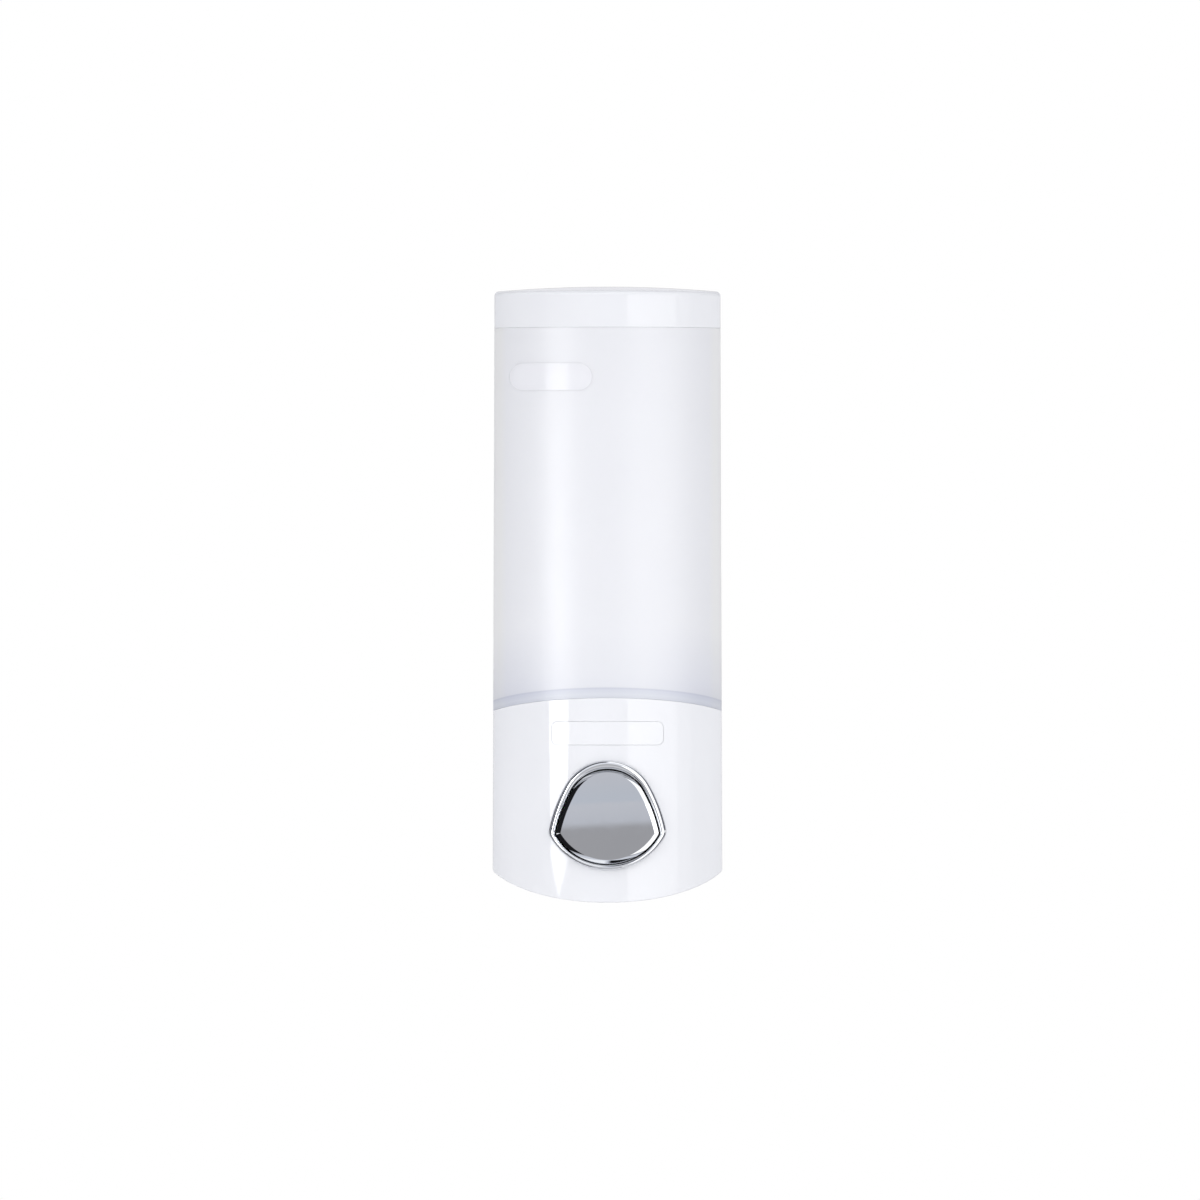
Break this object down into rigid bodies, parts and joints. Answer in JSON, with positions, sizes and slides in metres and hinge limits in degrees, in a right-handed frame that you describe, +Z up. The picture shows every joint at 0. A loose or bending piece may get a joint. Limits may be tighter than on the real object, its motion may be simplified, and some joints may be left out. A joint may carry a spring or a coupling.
{
  "type": "wall mounted soap dispenser",
  "caption": "Push-button liquid soap dispenser on a wall bracket, with a lift-off lid, a frosted tank and a spring-return piston pump.",
  "frame": {"origin": "on the wall, in the middle of the wall plate's back face", "axes": "+X to the right seen from the front, +Y into the wall, +Z up"},
  "size_m": [0.0764, 0.0678, 0.2048],
  "materials": {
    "white_gloss": "polished white injection-moulded ABS",
    "frosted_plastic": "frosted translucent plastic, satin outside",
    "clear_plastic": "clear moulded plastic",
    "label_film": "flush white inlay, blank",
    "chrome": "bright chrome plate on plastic",
    "moulded_plastic": "natural white moulded plastic",
    "frame_plastic": "white moulded plastic, fine texture",
    "nozzle_plastic": "translucent white plastic",
    "rubber": "black nitrile rubber",
    "silicone": "translucent silicone rubber",
    "foam": "closed-cell adhesive foam",
    "spring_steel": "stainless spring wire",
    "ball_steel": "polished stainless ball",
    "screw_steel": "zinc-plated steel"
  },
  "bodies": {
    "wall_bracket": {"wall_plate": "moulded_plastic", "foam_pad_upper": "foam", "foam_pad_lower": "foam"},
    "dispenser": {"back_frame": "frame_plastic", "tank": "frosted_plastic", "tank_badge": "clear_plastic", "tank_seal": "rubber", "housing": "white_gloss", "label_plate": "label_film", "bezel": "chrome", "pump_body": "moulded_plastic", "pump_collar": "moulded_plastic", "return_spring": "spring_steel", "inlet_valve": "silicone", "outlet_spring": "spring_steel", "outlet_nozzle": "nozzle_plastic", "tank_screw_left": "screw_steel", "tank_screw_right": "screw_steel", "housing_screw_left": "screw_steel", "housing_screw_right": "screw_steel", "pump_screw_left": "screw_steel", "pump_screw_right": "screw_steel"},
    "lid": {"lid": "white_gloss"},
    "button": {"button_cap": "chrome", "button_carrier": "moulded_plastic", "pump_piston": "moulded_plastic", "piston_seal": "rubber"},
    "outlet_ball": {"outlet_ball": "ball_steel"}
  },
  "joints": [
    {"name": "unhook_slide", "type": "slide", "parent": "wall_bracket", "child": "dispenser", "axis": [0, 0, 1], "range_m": [0, 0.008]},
    {"name": "lid_lift", "type": "slide", "parent": "dispenser", "child": "lid", "axis": [0, 0, 1], "range_m": [0, 0.02]},
    {"name": "button_press", "type": "slide", "parent": "dispenser", "child": "button", "axis": [0, 1, 0], "range_m": [0, 0.0075], "stiffness_N_per_m": 400, "springref_m": -0.01, "deforming": ["return_spring"]},
    {"name": "outlet_ball_drop", "type": "slide", "parent": "dispenser", "child": "outlet_ball", "axis": [0, 0, -1], "range_m": [0, 0.0012], "deforming": ["outlet_spring"]}
  ],
  "couplings": [
    {"joint": "outlet_ball_drop", "follows": "button_press", "ratio": 0.16}
  ]
}
